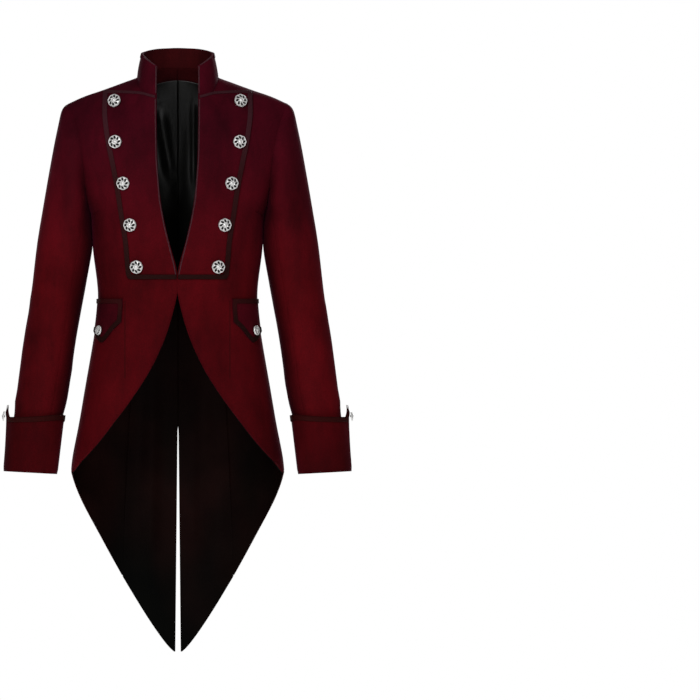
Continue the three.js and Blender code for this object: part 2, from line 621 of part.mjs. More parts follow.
// Collar: one stand band round the neck, open at the front.
function collarLower(share) {
  const onFront = share < COLLAR_SIDE_SHARE;
  const turn = onFront ? share / COLLAR_SIDE_SHARE
    : (share - COLLAR_SIDE_SHARE) / (1 - COLLAR_SIDE_SHARE);
  const x = onFront ? mix(NECK_FRONT_X, NECK_SIDE_X, Math.sin(turn * Math.PI / 2))
    : NECK_SIDE_X * Math.cos(turn * Math.PI / 2);
  const z = read(onFront ? FRONT_NECK : BACK_NECK, "z", x);
  return torso(onFront, angleOf(x, z), z);
}
function collarPlace(across, down) {
  const share = 1 - Math.abs(across);
  const side = across < 0 ? -1 : 1;
  const low = collarLower(clamp(share, 0, 1));
  const top = new THREE.Vector3(...["x", "y", "z"].map((c) => read(COLLAR_TOP, c, share)));
  low.z += 0.9;
  const point = low.clone().lerp(top, down);
  const lean = Math.sin(Math.PI * clamp(down, 0, 1)) * 1.5;
  point.x += lean * (point.x / 80);
  point.x *= side;
  return point;
}
const collarHalf = [0.0, 0.12, 0.24, 0.35, 0.45, 0.54, 0.6, 0.66, 0.73, 0.8, 0.87, 0.94, 1];
const collarAcross = [...collarHalf.slice(1).map((v) => -v).reverse(), ...collarHalf];
add("collar", wall(collarPlace, collarAcross, spread(4), 0, -COLLAR_WALL, true), "velvet");
const bindingPlace = (across, down) => collarPlace(across, mix(0.84, 0.985, down));
add("collar_binding", wall(bindingPlace, collarAcross.filter((v) => Math.abs(v) < 0.7),
  spread(1), TRIM_GAP + 0.9, TRIM_GAP, true), "braid");

// Buttons: a domed disc on a short shank, along its own normal.
function button(centre, normal, radius, shank) {
  const profile = [
    [0, -shank], [SHANK_RADIUS, -shank], [SHANK_RADIUS, 0], [0.92 * radius, 0],
    [radius, 0.16 * radius], [0.85 * radius, 0.38 * radius], [0, 0.6 * radius],
  ].map(([r, h]) => new THREE.Vector2(r, h));
  const sides = 9;
  const points = [new THREE.Vector3(0, 0, profile[0].y)];
  const rings = profile.slice(1, -1);
  rings.forEach((p) => {
    for (let i = 0; i < sides; i++) {
      const a = 2 * Math.PI * i / sides;
      points.push(new THREE.Vector3(p.x * Math.cos(a), p.x * Math.sin(a), p.y));
    }
  });
  points.push(new THREE.Vector3(0, 0, profile[profile.length - 1].y));
  const index = [];
  const at = (ring, i) => 1 + ring * sides + i % sides;
  for (let i = 0; i < sides; i++) {
    index.push(0, at(0, i + 1), at(0, i));
    for (let r = 0; r < rings.length - 1; r++) {
      index.push(at(r, i), at(r, i + 1), at(r + 1, i + 1), at(r, i), at(r + 1, i + 1), at(r + 1, i));
    }
    index.push(points.length - 1, at(rings.length - 1, i), at(rings.length - 1, i + 1));
  }
  const turn = new THREE.Quaternion().setFromUnitVectors(new THREE.Vector3(0, 0, 1), normal);
  points.forEach((p) => p.applyQuaternion(turn).add(centre));
  return solid(points, index);
}

// How high a button's visible face stands over its back, in radii.
const BUTTON_FACE = 0.35;
const BUTTON_LIFT = PLASTRON_FACE + TRIM_GAP + BRAID_THICK + 0.5;
// A button hangs on its shank, so it stands more upright than a sloping chest.
function uprightSeat(x, z) {
  const seat = lifted(frontSurface, x, z, BUTTON_LIFT);
  const upright = seat.normal.clone();
  upright.z *= 0.4;
  upright.normalize();
  const tilt = upright.angleTo(seat.normal);
  const rise = BUTTON_RADIUS * Math.sin(tilt);
  seat.point.addScaledVector(seat.normal, rise);
  const height = BUTTON_LIFT - PLASTRON_FACE + rise - SHANK_GAP;
  const shank = height / Math.cos(tilt) - SHANK_RADIUS * Math.tan(tilt);
  const face = seat.point.clone().addScaledVector(upright, BUTTON_FACE * BUTTON_RADIUS);
  return { point: seat.point, upright, shank, face };
}
FRONT_BUTTONS.forEach((spot, i) => {
  // The button is moved over the cloth until its face stands at its spot.
  let { x, z } = spot;
  for (let pass = 0; pass < 4; pass++) {
    const { face } = uprightSeat(x, z);
    x += spot.x - face.x;
    z += spot.z - face.z;
  }
  const seat = uprightSeat(x, z);
  addPair(`front_button_${i + 1}`,
    button(seat.point, seat.upright, BUTTON_RADIUS, seat.shank), "silver");
});
const flapSeat = lifted(flapSurface, degreesToMm(FLAP_BUTTON.angle), FLAP_BUTTON.z, BUTTON_LIFT);
addPair("flap_button", button(flapSeat.point, flapSeat.normal,
  SMALL_BUTTON_RADIUS, BUTTON_LIFT - PLASTRON_FACE - SHANK_GAP), "silver");
const cuffSpot = cuffRing(0, 0.13);
const cuffNormal = new THREE.Vector3(1, 0, 0.1).normalize();
const CUFF_BUTTON_LIFT = 3.4;
cuffSpot.addScaledVector(cuffNormal, CUFF_BUTTON_LIFT);
addPair("cuff_button", button(cuffSpot, cuffNormal, SMALL_BUTTON_RADIUS,
  CUFF_BUTTON_LIFT - SHANK_GAP - 0.3), "silver");

export default jacket;
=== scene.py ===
"""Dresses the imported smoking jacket: velvet, satin lining, braid and openwork buttons."""

import math

import bmesh
import bpy
import numpy as np
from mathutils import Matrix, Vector
from mathutils.bvhtree import BVHTree


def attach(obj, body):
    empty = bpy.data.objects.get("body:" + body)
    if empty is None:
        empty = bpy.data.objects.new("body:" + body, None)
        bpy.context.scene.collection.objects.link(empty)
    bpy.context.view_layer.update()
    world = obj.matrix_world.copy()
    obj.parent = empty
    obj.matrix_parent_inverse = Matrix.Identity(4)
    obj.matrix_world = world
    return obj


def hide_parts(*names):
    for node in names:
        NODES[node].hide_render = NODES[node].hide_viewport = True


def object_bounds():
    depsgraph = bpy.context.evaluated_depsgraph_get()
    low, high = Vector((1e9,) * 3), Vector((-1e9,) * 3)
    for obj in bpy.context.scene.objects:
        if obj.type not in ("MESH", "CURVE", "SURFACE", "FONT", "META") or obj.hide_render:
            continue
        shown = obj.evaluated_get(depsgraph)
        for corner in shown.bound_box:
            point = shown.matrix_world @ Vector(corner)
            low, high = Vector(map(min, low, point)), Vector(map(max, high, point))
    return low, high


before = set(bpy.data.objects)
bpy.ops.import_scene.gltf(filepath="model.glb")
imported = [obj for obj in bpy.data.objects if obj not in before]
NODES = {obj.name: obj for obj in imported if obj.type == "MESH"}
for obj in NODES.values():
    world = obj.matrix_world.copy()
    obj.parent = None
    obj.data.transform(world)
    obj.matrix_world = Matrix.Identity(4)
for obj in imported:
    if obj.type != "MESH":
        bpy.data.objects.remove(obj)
CAD_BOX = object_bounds()
SIDES = ("right", "left")

# The photograph: where the jacket stands in it, and its scale.
IMAGE_SIDE = 700
METRES_PER_PIXEL = 1.82e-3
ORIGIN_PIXEL_X = 177.5
ORIGIN_PIXEL_Y = 84.0
CAMERA_DISTANCE = 60.0
CAMERA_PLANE_Y = -0.06
SENSOR_MM = 36.0

# Edges that bend more than these stay sharp: in a solid, in cloth and in a button.
CREASE_ANGLE = math.radians(38)
CLOTH_SHARP_ANGLE = math.radians(50)
BUTTON_SHARP_ANGLE = math.radians(60)
# Cut edges that turn more than this at a vertex meet in a corner there.
CORNER_ANGLE = math.radians(20)
# The narrow sides of a cut edge's faces are shorter than this.
WIDEST_WALL = 0.0035
WELD_DISTANCE = 2e-5
# How often the shell's and the lining's walls are subdivided, and how their
# smooth form is brought back to where the solids' vertices lie.
SHELL_LEVELS = 2
LINING_LEVELS = 3
FITTING_ROUNDS = 3
FITTING_STEP = 0.9
# Cut edges grow by this much, to meet over the gap that the solids leave.
SEAM_GROWTH = 0.0002
WIDE_GROWTH = 0.0032
ARMHOLE_GROWTH = 0.0018
COLLAR_SIDE_GROWTH = 0.0108
TAIL_LINING_GROWTH = 0.0006
# Where they grow more: the armhole's bottom and its least |x|, the side of the
# collar, and the free part of the tails.
ARMHOLE_LOW_Z = -0.262
ARMHOLE_X = 0.13
COLLAR_SIDE_X = 0.05
TAILS_Z = -0.62
# The face side of a cut edge lies this much lower, as a seam. Inside the torso,
# nearer to the middle than TORSO_HALF_WIDTH, it doesn't.
SEAM_DIP = 0.0009
TORSO_HALF_WIDTH = 0.15
# The torso's depth is this share of its width.
TORSO_FLATNESS = 0.55
# Moves of the back's cloth fade in over this depth behind the middle line.
BACK_FADE = 0.03
# How far the trim on the fronts sinks into their pile.
LAID_DEPTH = 0.0006
BRAID_DEPTH = 0.0010
PIPING_RADIUS = 0.0009
DART_RADIUS = 0.0004

# A button's steps, and its form in radii of the button.
BUTTON_TURN_STEPS = 96
BUTTON_RING_STEPS = 26
BUTTON_DEPTH = 0.6
DOME_BASE = 0.22
DOME_RISE = 0.22
HOLES_IN_BUTTON = 8
HOLE_MIDDLE = 0.64
HOLE_HALF_WIDTH = 0.17
HOLE_HALF_LENGTH = 0.225
HOLE_DEPTH = 0.26
HOLE_SWIRL = 0.35
GROOVE_RADIUS = 0.30
GROOVE_WIDTH = 0.04
GROOVE_DEPTH = 0.05
RIM_RADIUS = 0.96
RIM_WIDTH = 0.05
RIM_HEIGHT = 0.06
RIM_LOBES = 0.02
EDGE_WIDTH = 0.04
BOSS_WIDTH = 0.18
BOSS_HEIGHT = 0.08
# The rings of a button's back and shank: radius and height.
SHANK_RINGS = ((0.90, 0.0), (0.24, -0.02), (0.20, -0.16))

# Heights between which the colours and the gloss change.
CHEST_FADE = (-0.40, 0.0)
HEM_FADE = (-0.74, -0.42)
# The share of its brightness that the pile keeps low on the tails: painted shade, darker towards
# the bottom.
HEM_SHADE = 0.72
# The sleeve's inner outline, past which its pile gets painted shade where the body shades it:
# |x| = start + slope * z, but no less than INNER_LEAST.
INNER_START = 0.108
INNER_SLOPE = -0.167
INNER_LEAST = 0.157
INNER_FADE = (-0.004, 0.032)
SATIN_TAIL_FADE = (-0.44, -0.36)
SATIN_GLOSS_FADE = (-0.25, -0.10)
BRAID_WAIST_FADE = (-0.36, -0.24)
BRAID_CHEST_FADE = (-0.19, -0.06)
FLAP_TOP_FADE = (-0.430, -0.402)

# Each sheet of cloth: the width, length and flat area of what shows of its cut, in
# metres, and how it is held.
SHEETS = {
    "front": (0.30, 0.73, 0.120, "hung"),
    "front_lining": (0.30, 0.73, 0.117, "hung"),
    "back": (0.12, 1.08, 0.095, "hung"),
    "neck_facing": (0.11, 0.05, 0.0041, "hung"),
    "back_lining": (0.12, 1.05, 0.087, "hung"),
    "side_back": (0.19, 0.92, 0.107, "hung"),
    "side_back_lining": (0.19, 0.92, 0.1045, "hung"),
    "plastron": (0.14, 0.35, 0.0334, "laid"),
    "pocket_flap": (0.09, 0.085, 0.0055, "laid"),
    "upper_sleeve": (0.27, 0.68, 0.130, "hung"),
    "under_sleeve": (0.15, 0.53, 0.0566, "hung"),
    "cuff": (0.34, 0.12, 0.0325, "stretched"),
    "collar": (0.40, 0.06, 0.0185, "stretched"),
}


def srgb(red, green, blue):
    """A colour read as 0 to 255 in sRGB, as linear values."""
    out = []
    for value in (red, green, blue):
        share = value / 255
        out.append(share / 12.92 if share <= 0.04045 else ((share + 0.055) / 1.055) ** 2.4)
    return (*out, 1.0)


def placed(thing):
    """Puts an object into the scene."""
    bpy.context.scene.collection.objects.link(thing)
    return thing


def evaluated_mesh(thing):
    """The mesh of an object with its modifiers applied."""
    graph = bpy.context.evaluated_depsgraph_get()
    return bpy.data.meshes.new_from_object(thing.evaluated_get(graph))


def coordinates(mesh):
    """The places of a mesh's vertices, a row for each."""
    flat = np.zeros(len(mesh.vertices) * 3)
    mesh.vertices.foreach_get("co", flat)
    return flat.reshape(-1, 3)


class Nodes:
    """Short calls for building a material's node tree."""

    def __init__(self, name):
        self.material = bpy.data.materials.new(name)
        self.material.use_nodes = True
        self.tree = self.material.node_tree
        self.shader = self.tree.nodes["Principled BSDF"]
        self.place = self.add("ShaderNodeTexCoord").outputs["Object"]

    def add(self, kind, **settings):
        """A new node with these settings."""
        node = self.tree.nodes.new(kind)
        for key, value in settings.items():
            setattr(node, key, value)
        return node

    def link(self, source, target):
        self.tree.links.new(source, target)

    def mapped(self, scale):
        """Object coordinates stretched by scale."""
        node = self.add("ShaderNodeMapping")
        node.inputs["Scale"].default_value = scale
        self.link(self.place, node.inputs["Vector"])
        return node.outputs["Vector"]

    def noise(self, scale, detail=2.0, stretch=(1, 1, 1), rough=0.5):
        node = self.add("ShaderNodeTexNoise")
        node.inputs["Scale"].default_value = scale
        node.inputs["Detail"].default_value = detail
        node.inputs["Roughness"].default_value = rough
        self.link(self.mapped(stretch), node.inputs["Vector"])
        return node.outputs["Fac"]

    def ramp(self, source, low, high, at=(0.3, 0.7)):
        """Goes from colour low to colour high between the two places in at."""
        node = self.add("ShaderNodeValToRGB")
        node.color_ramp.elements[0].color = low
        node.color_ramp.elements[1].color = high
        node.color_ramp.elements[0].position = at[0]
        node.color_ramp.elements[1].position = at[1]
        self.link(source, node.inputs["Fac"])
        return node.outputs["Color"]

    def mix(self, share, first, second, blend="MIX"):
        node = self.add("ShaderNodeMix", data_type="RGBA", blend_type=blend)
        for socket, value in ((node.inputs[0], share), (node.inputs[6], first),
                              (node.inputs[7], second)):
            if isinstance(value, bpy.types.NodeSocket):
                self.link(value, socket)
            else:
                socket.default_value = value
        return node.outputs[2]

    def math(self, operation, first, second=None):
        node = self.add("ShaderNodeMath", operation=operation)
        for socket, value in zip(node.inputs, (first, second)):
            if isinstance(value, bpy.types.NodeSocket):
                self.link(value, socket)
            elif value is not None:
                socket.default_value = value
        return node.outputs[0]

    def smooth(self, source, low, high):
        """Rises softly from 0 to 1 while source goes from low to high."""
        node = self.add("ShaderNodeMapRange", interpolation_type="SMOOTHSTEP")
        self.link(source, node.inputs["Value"])
        node.inputs["From Min"].default_value = low
        node.inputs["From Max"].default_value = high
        return node.outputs["Result"]

    def axes(self):
        node = self.add("ShaderNodeSeparateXYZ")
        self.link(self.place, node.inputs["Vector"])
        return node.outputs

    def bump(self, height, strength, distance, after=None):
        """Relief for the shader, laid over the relief after."""
        node = self.add("ShaderNodeBump")
        node.inputs["Strength"].default_value = strength
        node.inputs["Distance"].default_value = distance
        self.link(height, node.inputs["Height"])
        if after is not None:
            self.link(after, node.inputs["Normal"])
        self.link(node.outputs["Normal"], self.shader.inputs["Normal"])
        return node.outputs["Normal"]

    def set(self, **values):
        """Uniform values on the shader's own sockets."""
        for key, value in values.items():
            self.shader.inputs[key.replace("_", " ")].default_value = value


def velvet_material(name, redder, darker, painted_inner_shade=False):
    """Cut pile: soft mottling, vertical streaks where the pile lies over, and a fine nap.

    It goes from redder low down to darker at the shoulders. painted_inner_shade darkens
    the inner side of a sleeve with painted shade, where the body shades it.
    """
    m = Nodes(name)
    axes = m.axes()
    # Painted shade: the pile is painted darker low down.
    hem = tuple(HEM_SHADE * value for value in redder[:3]) + (1,)
    ground = m.mix(m.smooth(axes["Z"], *HEM_FADE), hem, redder)
    ground = m.mix(m.smooth(axes["Z"], *CHEST_FADE), ground, darker)
    cloud = m.noise(8.0, 4.0, (1, 1, 0.7), 0.6)
    streak = m.noise(34.0, 3.0, (1, 1, 0.3), 0.6)
    lie = m.math("ADD", m.math("MULTIPLY", cloud, 0.7), m.math("MULTIPLY", streak, 0.3))
    shade = m.ramp(lie, (0.56, 0.57, 0.62, 1), (1.42, 1.34, 1.30, 1), (0.34, 0.66))
    nap = m.noise(900.0, 2.0, (1, 1, 0.7))
    fleck = m.ramp(nap, (0.80, 0.80, 0.80, 1), (1.20, 1.20, 1.20, 1), (0.35, 0.65))
    colour = m.mix(1.0, m.mix(1.0, ground, shade, "MULTIPLY"), fleck, "MULTIPLY")
    # Painted shade on the inner side of a sleeve, next to the body.
    if painted_inner_shade:
        line = m.math("ADD", m.math("MULTIPLY", axes["Z"], INNER_SLOPE), INNER_START)
        line = m.math("MAXIMUM", line, INNER_LEAST)
        past = m.math("SUBTRACT", m.math("ABSOLUTE", axes["X"]), line)
        painted_shadow = m.mix(m.smooth(past, *INNER_FADE), (0.30, 0.26, 0.44, 1), (1, 1, 1, 1))
        colour = m.mix(1.0, colour, painted_shadow, "MULTIPLY")
    m.link(colour, m.shader.inputs["Base Color"])
    rough = m.math("ADD", m.math("MULTIPLY", streak, 0.2), 0.74)
    m.link(rough, m.shader.inputs["Roughness"])
    m.set(Sheen_Weight=0.07, Sheen_Roughness=0.35, Specular_IOR_Level=0.05)
    m.set(Sheen_Tint=(0.75, 0.08, 0.28, 1))
    soft = m.bump(streak, 0.3, 0.0015)
    m.bump(nap, 0.35, 0.0005, soft)
    return m.material


def satin_material():
    """Black satin lining: a fine weave, glossy at the chest and duller down the tails."""
    m = Nodes("satin_lining")
    weave = m.add("ShaderNodeTexWave", bands_direction="DIAGONAL")
    weave.inputs["Scale"].default_value = 900.0
    weave.inputs["Distortion"].default_value = 1.0
    m.link(m.place, weave.inputs["Vector"])
    cloud = m.noise(14.0, 3.0)
    warm = m.noise(6.0, 2.0, (1, 1, 0.5))
    height = m.axes()["Z"]
    chest = m.smooth(height, *SATIN_TAIL_FADE)
    glossy = m.smooth(height, *SATIN_GLOSS_FADE)
    tail = m.ramp(warm, srgb(5, 5, 4), srgb(22, 8, 7), (0.4, 0.66))
    shade = m.ramp(cloud, (0.7, 0.7, 0.7, 1), (1.3, 1.3, 1.25, 1))
    ground = m.mix(chest, tail, srgb(12, 12, 10))
    m.link(m.mix(1.0, ground, shade, "MULTIPLY"), m.shader.inputs["Base Color"])
    m.link(m.math("ADD", m.math("MULTIPLY", cloud, 0.16), 0.33), m.shader.inputs["Roughness"])
    shine = m.math("ADD", m.math("MULTIPLY", glossy, 0.60), 0.02)
    m.link(shine, m.shader.inputs["Specular IOR Level"])
    m.set(Sheen_Weight=0.0)
    m.bump(weave.outputs["Fac"], 0.12, 0.0003)
    return m.material


def braid_material(name, low_shade, seam_shade=None):
    """Woven braid: fine diagonal ribs with a dull shine, and painted sheen that makes it paler at
    the chest.

    low_shade is its colour below the waist, and seam_shade the one at a flap's top.
    """
    m = Nodes(name)
    ribs = m.add("ShaderNodeTexWave", bands_direction="DIAGONAL")
    ribs.inputs["Scale"].default_value = 420.0
    ribs.inputs["Distortion"].default_value = 1.5
    m.link(m.place, ribs.inputs["Vector"])
    threads = m.noise(1200.0, 2.0)
    axes = m.axes()
    # Painted sheen: the near-black braid is painted paler and more mauve towards the chest.
    lower = m.mix(m.smooth(axes["Z"], *BRAID_WAIST_FADE), low_shade, srgb(56, 20, 22))
    ground = m.mix(m.smooth(axes["Z"], *BRAID_CHEST_FADE), lower, srgb(76, 36, 44))
    if seam_shade is not None:
        ground = m.mix(m.smooth(axes["Z"], *FLAP_TOP_FADE), ground, seam_shade)
    dark = m.ramp(ribs.outputs["Fac"], (0.55, 0.55, 0.55, 1), (1.25, 1.25, 1.25, 1), (0.2, 0.8))
    fibre = m.ramp(threads, (0.75, 0.75, 0.75, 1), (1.25, 1.25, 1.25, 1))
    m.link(m.mix(1.0, m.mix(1.0, ground, dark, "MULTIPLY"), fibre, "MULTIPLY"),
           m.shader.inputs["Base Color"])
    m.set(Roughness=0.7, Specular_IOR_Level=0.08, Sheen_Weight=0.0)
    weave = m.bump(ribs.outputs["Fac"], 0.6, 0.0006)
    m.bump(threads, 0.3, 0.0003, weave)
    return m.material


def piping_painted_sheen_material():
    """The rolled edge, a little paler than the velvet where its pile is bent over: painted sheen.
    """
    m = Nodes("rolled_edge")
    pile = m.noise(700.0, 2.0)
    m.link(m.ramp(pile, srgb(54, 18, 27), srgb(90, 44, 56)), m.shader.inputs["Base Color"])
    m.set(Roughness=0.8, Specular_IOR_Level=0.15, Sheen_Weight=0.15)
    m.bump(pile, 0.4, 0.0003)
    return m.material


def metal_material(name, pale, tarnish_and_shade, rough, metallic):
    """Antique silver: tarnish in soft patches and fine scratches in the polish. In the holes the
    same patches vary their painted shade.
    """
    m = Nodes(name)
    patch = m.noise(240.0, 4.0)
    scratch = m.noise(1500.0, 2.0, (1, 1, 0.2))
    m.link(m.ramp(patch, tarnish_and_shade, pale, (0.34, 0.56)), m.shader.inputs["Base Color"])
    m.link(m.math("ADD", m.math("MULTIPLY", scratch, 0.18), rough), m.shader.inputs["Roughness"])
    m.set(Metallic=metallic)
    m.bump(scratch, 0.12, 0.0002)
    return m.material


VELVET = velvet_material("velvet", srgb(80, 6, 13), srgb(70, 7, 23))
# One velvet in painted copies: the sleeve's is a little paler, as painted light; the cuff's is
# darker and the flap's darker and purpler, as painted shade.
SLEEVE_VELVET_PAINTED_LIGHT = velvet_material("velvet_sleeve", srgb(87, 8, 15), srgb(69, 7, 23), True)
CUFF_VELVET_PAINTED_SHADE = velvet_material("velvet_cuff", srgb(72, 4, 10), srgb(60, 4, 14))
FLAP_VELVET_PAINTED_SHADE = velvet_material("velvet_flap", srgb(70, 6, 18), srgb(70, 6, 18))
INSIDE_VELVET = velvet_material("velvet_inside", srgb(66, 10, 12), srgb(60, 11, 14))
VELVETS = (VELVET, SLEEVE_VELVET_PAINTED_LIGHT, CUFF_VELVET_PAINTED_SHADE, FLAP_VELVET_PAINTED_SHADE)
SATIN = satin_material()
BRAID = braid_material("braid_trim", srgb(41, 13, 11))
FLAP_BRAID = braid_material("braid_flap", srgb(41, 13, 11), srgb(58, 13, 15))
CUFF_BRAID = braid_material("braid_cuff", srgb(54, 7, 6))
PIPING_PAINTED_SHEEN = piping_painted_sheen_material()
# The silver is only partly metallic, so that its near-white diffuse colour stands in for its
# reflections: partly painted reflection.
SILVER = metal_material("button_silver", (0.97, 0.97, 0.96, 1), (0.70, 0.69, 0.68, 1),
                        rough=0.26, metallic=0.35)
# The holes, the ring groove, the back and the shank of a button are near-black: painted shade.
RECESS_PAINTED_SHADE = metal_material("button_recess_painted_shade", (0.012, 0.011, 0.011, 1), (0.004, 0.004, 0.004, 1),
                        rough=0.7, metallic=0.0)


def bell(value, middle, width):
    """A smooth bump that is 1 at middle and fades over width."""
    return np.exp(-((value - middle) / width) ** 2)


def fold(across, down, start, end, width, depth):
    """A soft ridge along the straight line from start to end, fading at its ends."""
    start, end = np.array(start), np.array(end)
    along = end - start
    length = np.linalg.norm(along)
    along = along / length
    a = across - start[0]
    b = down - start[1]
    run = (a * along[0] + b * along[1]) / length
    off = a * along[1] - b * along[0]
    fade = np.clip(np.minimum(run, 1 - run) * 4, 0, 1)
    fade = fade * fade * (3 - 2 * fade)
    return depth * fade * bell(off, 0, width)


# Folds of the body, seen from the front or back: x and z of both ends, the
# width and the height of the ridge, all in metres. front is -1 and back is 1.
BODY_FOLDS = (
    (-1, (-0.160, -0.115), (-0.118, -0.225), 0.011, 0.0020),
    (-1, (-0.150, -0.190), (-0.112, -0.265), 0.012, -0.0018),
    (-1, (0.162, -0.125), (0.122, -0.215), 0.012, 0.0018),
    (-1, (0.152, -0.205), (0.108, -0.300), 0.011, -0.0016),
    (-1, (-0.135, -0.500), (-0.120, -0.640), 0.016, 0.0022),
    (-1, (-0.100, -0.430), (-0.085, -0.545), 0.014, -0.0016),
    (-1, (0.132, -0.480), (0.126, -0.630), 0.017, 0.0022),
    (-1, (0.096, -0.420), (0.082, -0.530), 0.013, -0.0014),
    (1, (-0.150, -0.150), (-0.105, -0.290), 0.014, 0.0022),
    (1, (0.155, -0.140), (0.110, -0.300), 0.014, 0.0022),
    (1, (-0.120, -0.330), (-0.060, -0.400), 0.013, 0.0018),
    (1, (0.118, -0.345), (0.052, -0.395), 0.013, 0.0017),
    (1, (-0.130, -0.470), (-0.115, -0.760), 0.020, 0.0030),
    (1, (0.128, -0.450), (0.112, -0.740), 0.021, 0.0028),
    (1, (-0.048, -0.520), (-0.052, -0.900), 0.018, -0.0026),
    (1, (0.050, -0.540), (0.047, -0.880), 0.017, -0.0024),
)
# The vent opens to this much, within this height below its top and this far from
# the middle.
VENT_TOP_Z = -0.618
VENT_RISE = 0.014
VENT_REACH = 0.03
VENT_OPENING = 0.0012
# The tails' wave: its height at their tips, radians for each metre across, and start.
TAILS_DROP = 0.42
WAVE_HEIGHT = 0.006
WAVE_TURN = 34
WAVE_START = 0.6
# Folds of a sleeve: height, rise for each radian round the sleeve, the turn where
# the fold stands out most, in radians from the outside towards the front, and by
# how much it does.
SLEEVE_FOLDS = (
    (-0.205, 0.030, 2.3, 0.0034),
    (-0.262, -0.022, 2.0, 0.0028),
    (-0.372, 0.026, 1.2, 0.0034),
    (-0.412, -0.020, -1.4, 0.0036),
    (-0.448, 0.018, 1.6, 0.0032),
    (-0.545, -0.014, -2.2, 0.0026),
    (-0.575, 0.012, 0.6, 0.0026),
)
# A sleeve's creases: their half width, and how far round they reach, in radians.
CREASE_WIDTH = 0.013
CREASE_REACH = 0.9
# Creases fade in below the shoulder and out above the cuff.
SLEEVE_TOP_Z = -0.12
SLEEVE_LOW_Z = -0.60
# Below its elbow a sleeve's middle bends forward, by ELBOW_BEND at this drop.
ELBOW_Z = -0.35
ELBOW_DROP = 0.3
ELBOW_BEND = 0.012
# The long ridge down the front of the upper arm and the hollow beside it: where
# round the sleeve, their half width there, and how far they stand out or in.
RIDGE_TURN = 1.65
HOLLOW_PAST_RIDGE = 0.72
RIDGE_REACH = 0.28
RIDGE_HEIGHT = 0.0038
HOLLOW_DEPTH = 0.0034
# The sleeve's middle line seen from the front, for turning folds round it.
SLEEVE_LINE_Z = (-0.72, -0.61, -0.50, -0.40, -0.30, -0.20, -0.10, 0.0)
SLEEVE_LINE_X = (0.270, 0.254, 0.238, 0.222, 0.209, 0.200, 0.196, 0.192)


def settle_body(points):
    """Moves points of the body's cloth along the folds, all layers by the same amount."""
    x, y, z = points.T
    move = np.zeros(len(points))
    for facing, start, end, width, height in BODY_FOLDS:
        here = np.clip(y * facing / BACK_FADE, 0, 1)
        move += here * fold(x, z, start, end, width, height)
    reach = np.maximum(np.hypot(x * TORSO_FLATNESS, y), 1e-4)
    points[:, 0] += move * x * TORSO_FLATNESS / reach
    points[:, 1] += move * y / reach
    # The vent opens at once below its top.
    side = np.sign(x.mean())
    behind = np.clip(y / BACK_FADE, 0, 1)
    vent = np.clip((VENT_TOP_Z - z) / VENT_RISE, 0, 1) * bell(x, 0, VENT_REACH) * behind
    points[:, 0] += side * VENT_OPENING * vent
    # The tails hang a little unevenly.
    hang = np.clip((TAILS_Z - z) / TAILS_DROP, 0, 1) ** 1.5
    wave = WAVE_HEIGHT * np.sin(x * WAVE_TURN + WAVE_START)
    points[:, 1] += hang * wave * np.clip(y / 0.05, 0, 1)
    return points


def drawn_in(points, depth):
    """Moves points straight in towards the torso's middle line."""
    outward = np.stack([points[:, 0] * TORSO_FLATNESS, points[:, 1]], axis=1)
    outward /= np.maximum(np.linalg.norm(outward, axis=1, keepdims=True), 1e-4)
    points[:, :2] -= depth * outward
    return points


def settle_laid(points):
    """What lies on the fronts rests on their pile."""
    return settle_body(drawn_in(points, LAID_DEPTH))


def settle_laid_braid(points):
    """The braid on the fronts rests on what it edges."""
    return settle_body(drawn_in(points, BRAID_DEPTH))


def settle_sleeve(points):
    """Moves points of a sleeve along its creases at the armpit, elbow and wrist."""
    x, y, z = points.T
    side = np.sign(x)
    middle = np.interp(z, SLEEVE_LINE_Z, SLEEVE_LINE_X)
    out = side * x - middle
    ahead = y + ELBOW_BEND * np.clip((-z + ELBOW_Z) / ELBOW_DROP, 0, 1.6)
    turn = np.arctan2(-ahead, out)
    move = np.zeros(len(points))
    for number, (height, slope, at, size) in enumerate(SLEEVE_FOLDS):
        uneven = 0.012 * math.sin(number * 2.1) * side
        away = np.angle(np.exp(1j * (turn - at)))
        level = height + uneven + slope * away
        move += size * bell(z, level, CREASE_WIDTH) * bell(away, 0, CREASE_REACH)
    # A long soft ridge down the front of the upper arm, with a hollow beside it.
    past = np.angle(np.exp(1j * (turn - RIDGE_TURN)))
    move += RIDGE_HEIGHT * bell(past, 0, RIDGE_REACH) * bell(z, -0.235, 0.085)
    move -= HOLLOW_DEPTH * bell(past, HOLLOW_PAST_RIDGE, RIDGE_REACH) * bell(z, -0.225, 0.07)
    fade = np.clip((SLEEVE_TOP_Z - z) / 0.08, 0, 1) * np.clip((z - SLEEVE_LOW_Z) / 0.03, 0, 1)
    move *= fade
    reach = np.maximum(np.hypot(out, ahead), 1e-4)
    points[:, 0] += side * move * out / reach
    points[:, 1] += move * ahead / reach
    # Below the armpit the sleeve rests close to the body's side.
    close = 0.0008 * bell(z, -0.275, 0.035) + 0.0022 * bell(z, -0.24, 0.035) * bell(y, 0, 0.04)
    points[:, 0] -= side * close * np.clip(-out / 0.03, 0, 1)
    return points


# The cuff's middle seen from above.
CUFF_MIDDLE_X = 0.257
CUFF_MIDDLE_Y = -0.019
# The cuff's peak: how much it stands up and its tip leans in, and from where to
# where each of the two grows.
PEAK_HALF_ANGLE = math.radians(17)
PEAK_LIFT = 0.0060
PEAK_LIFT_Z = -0.64
PEAK_LIFT_RISE = 0.049
PEAK_LEAN = 0.0045
PEAK_LEAN_Z = -0.604
PEAK_LEAN_RISE = 0.016


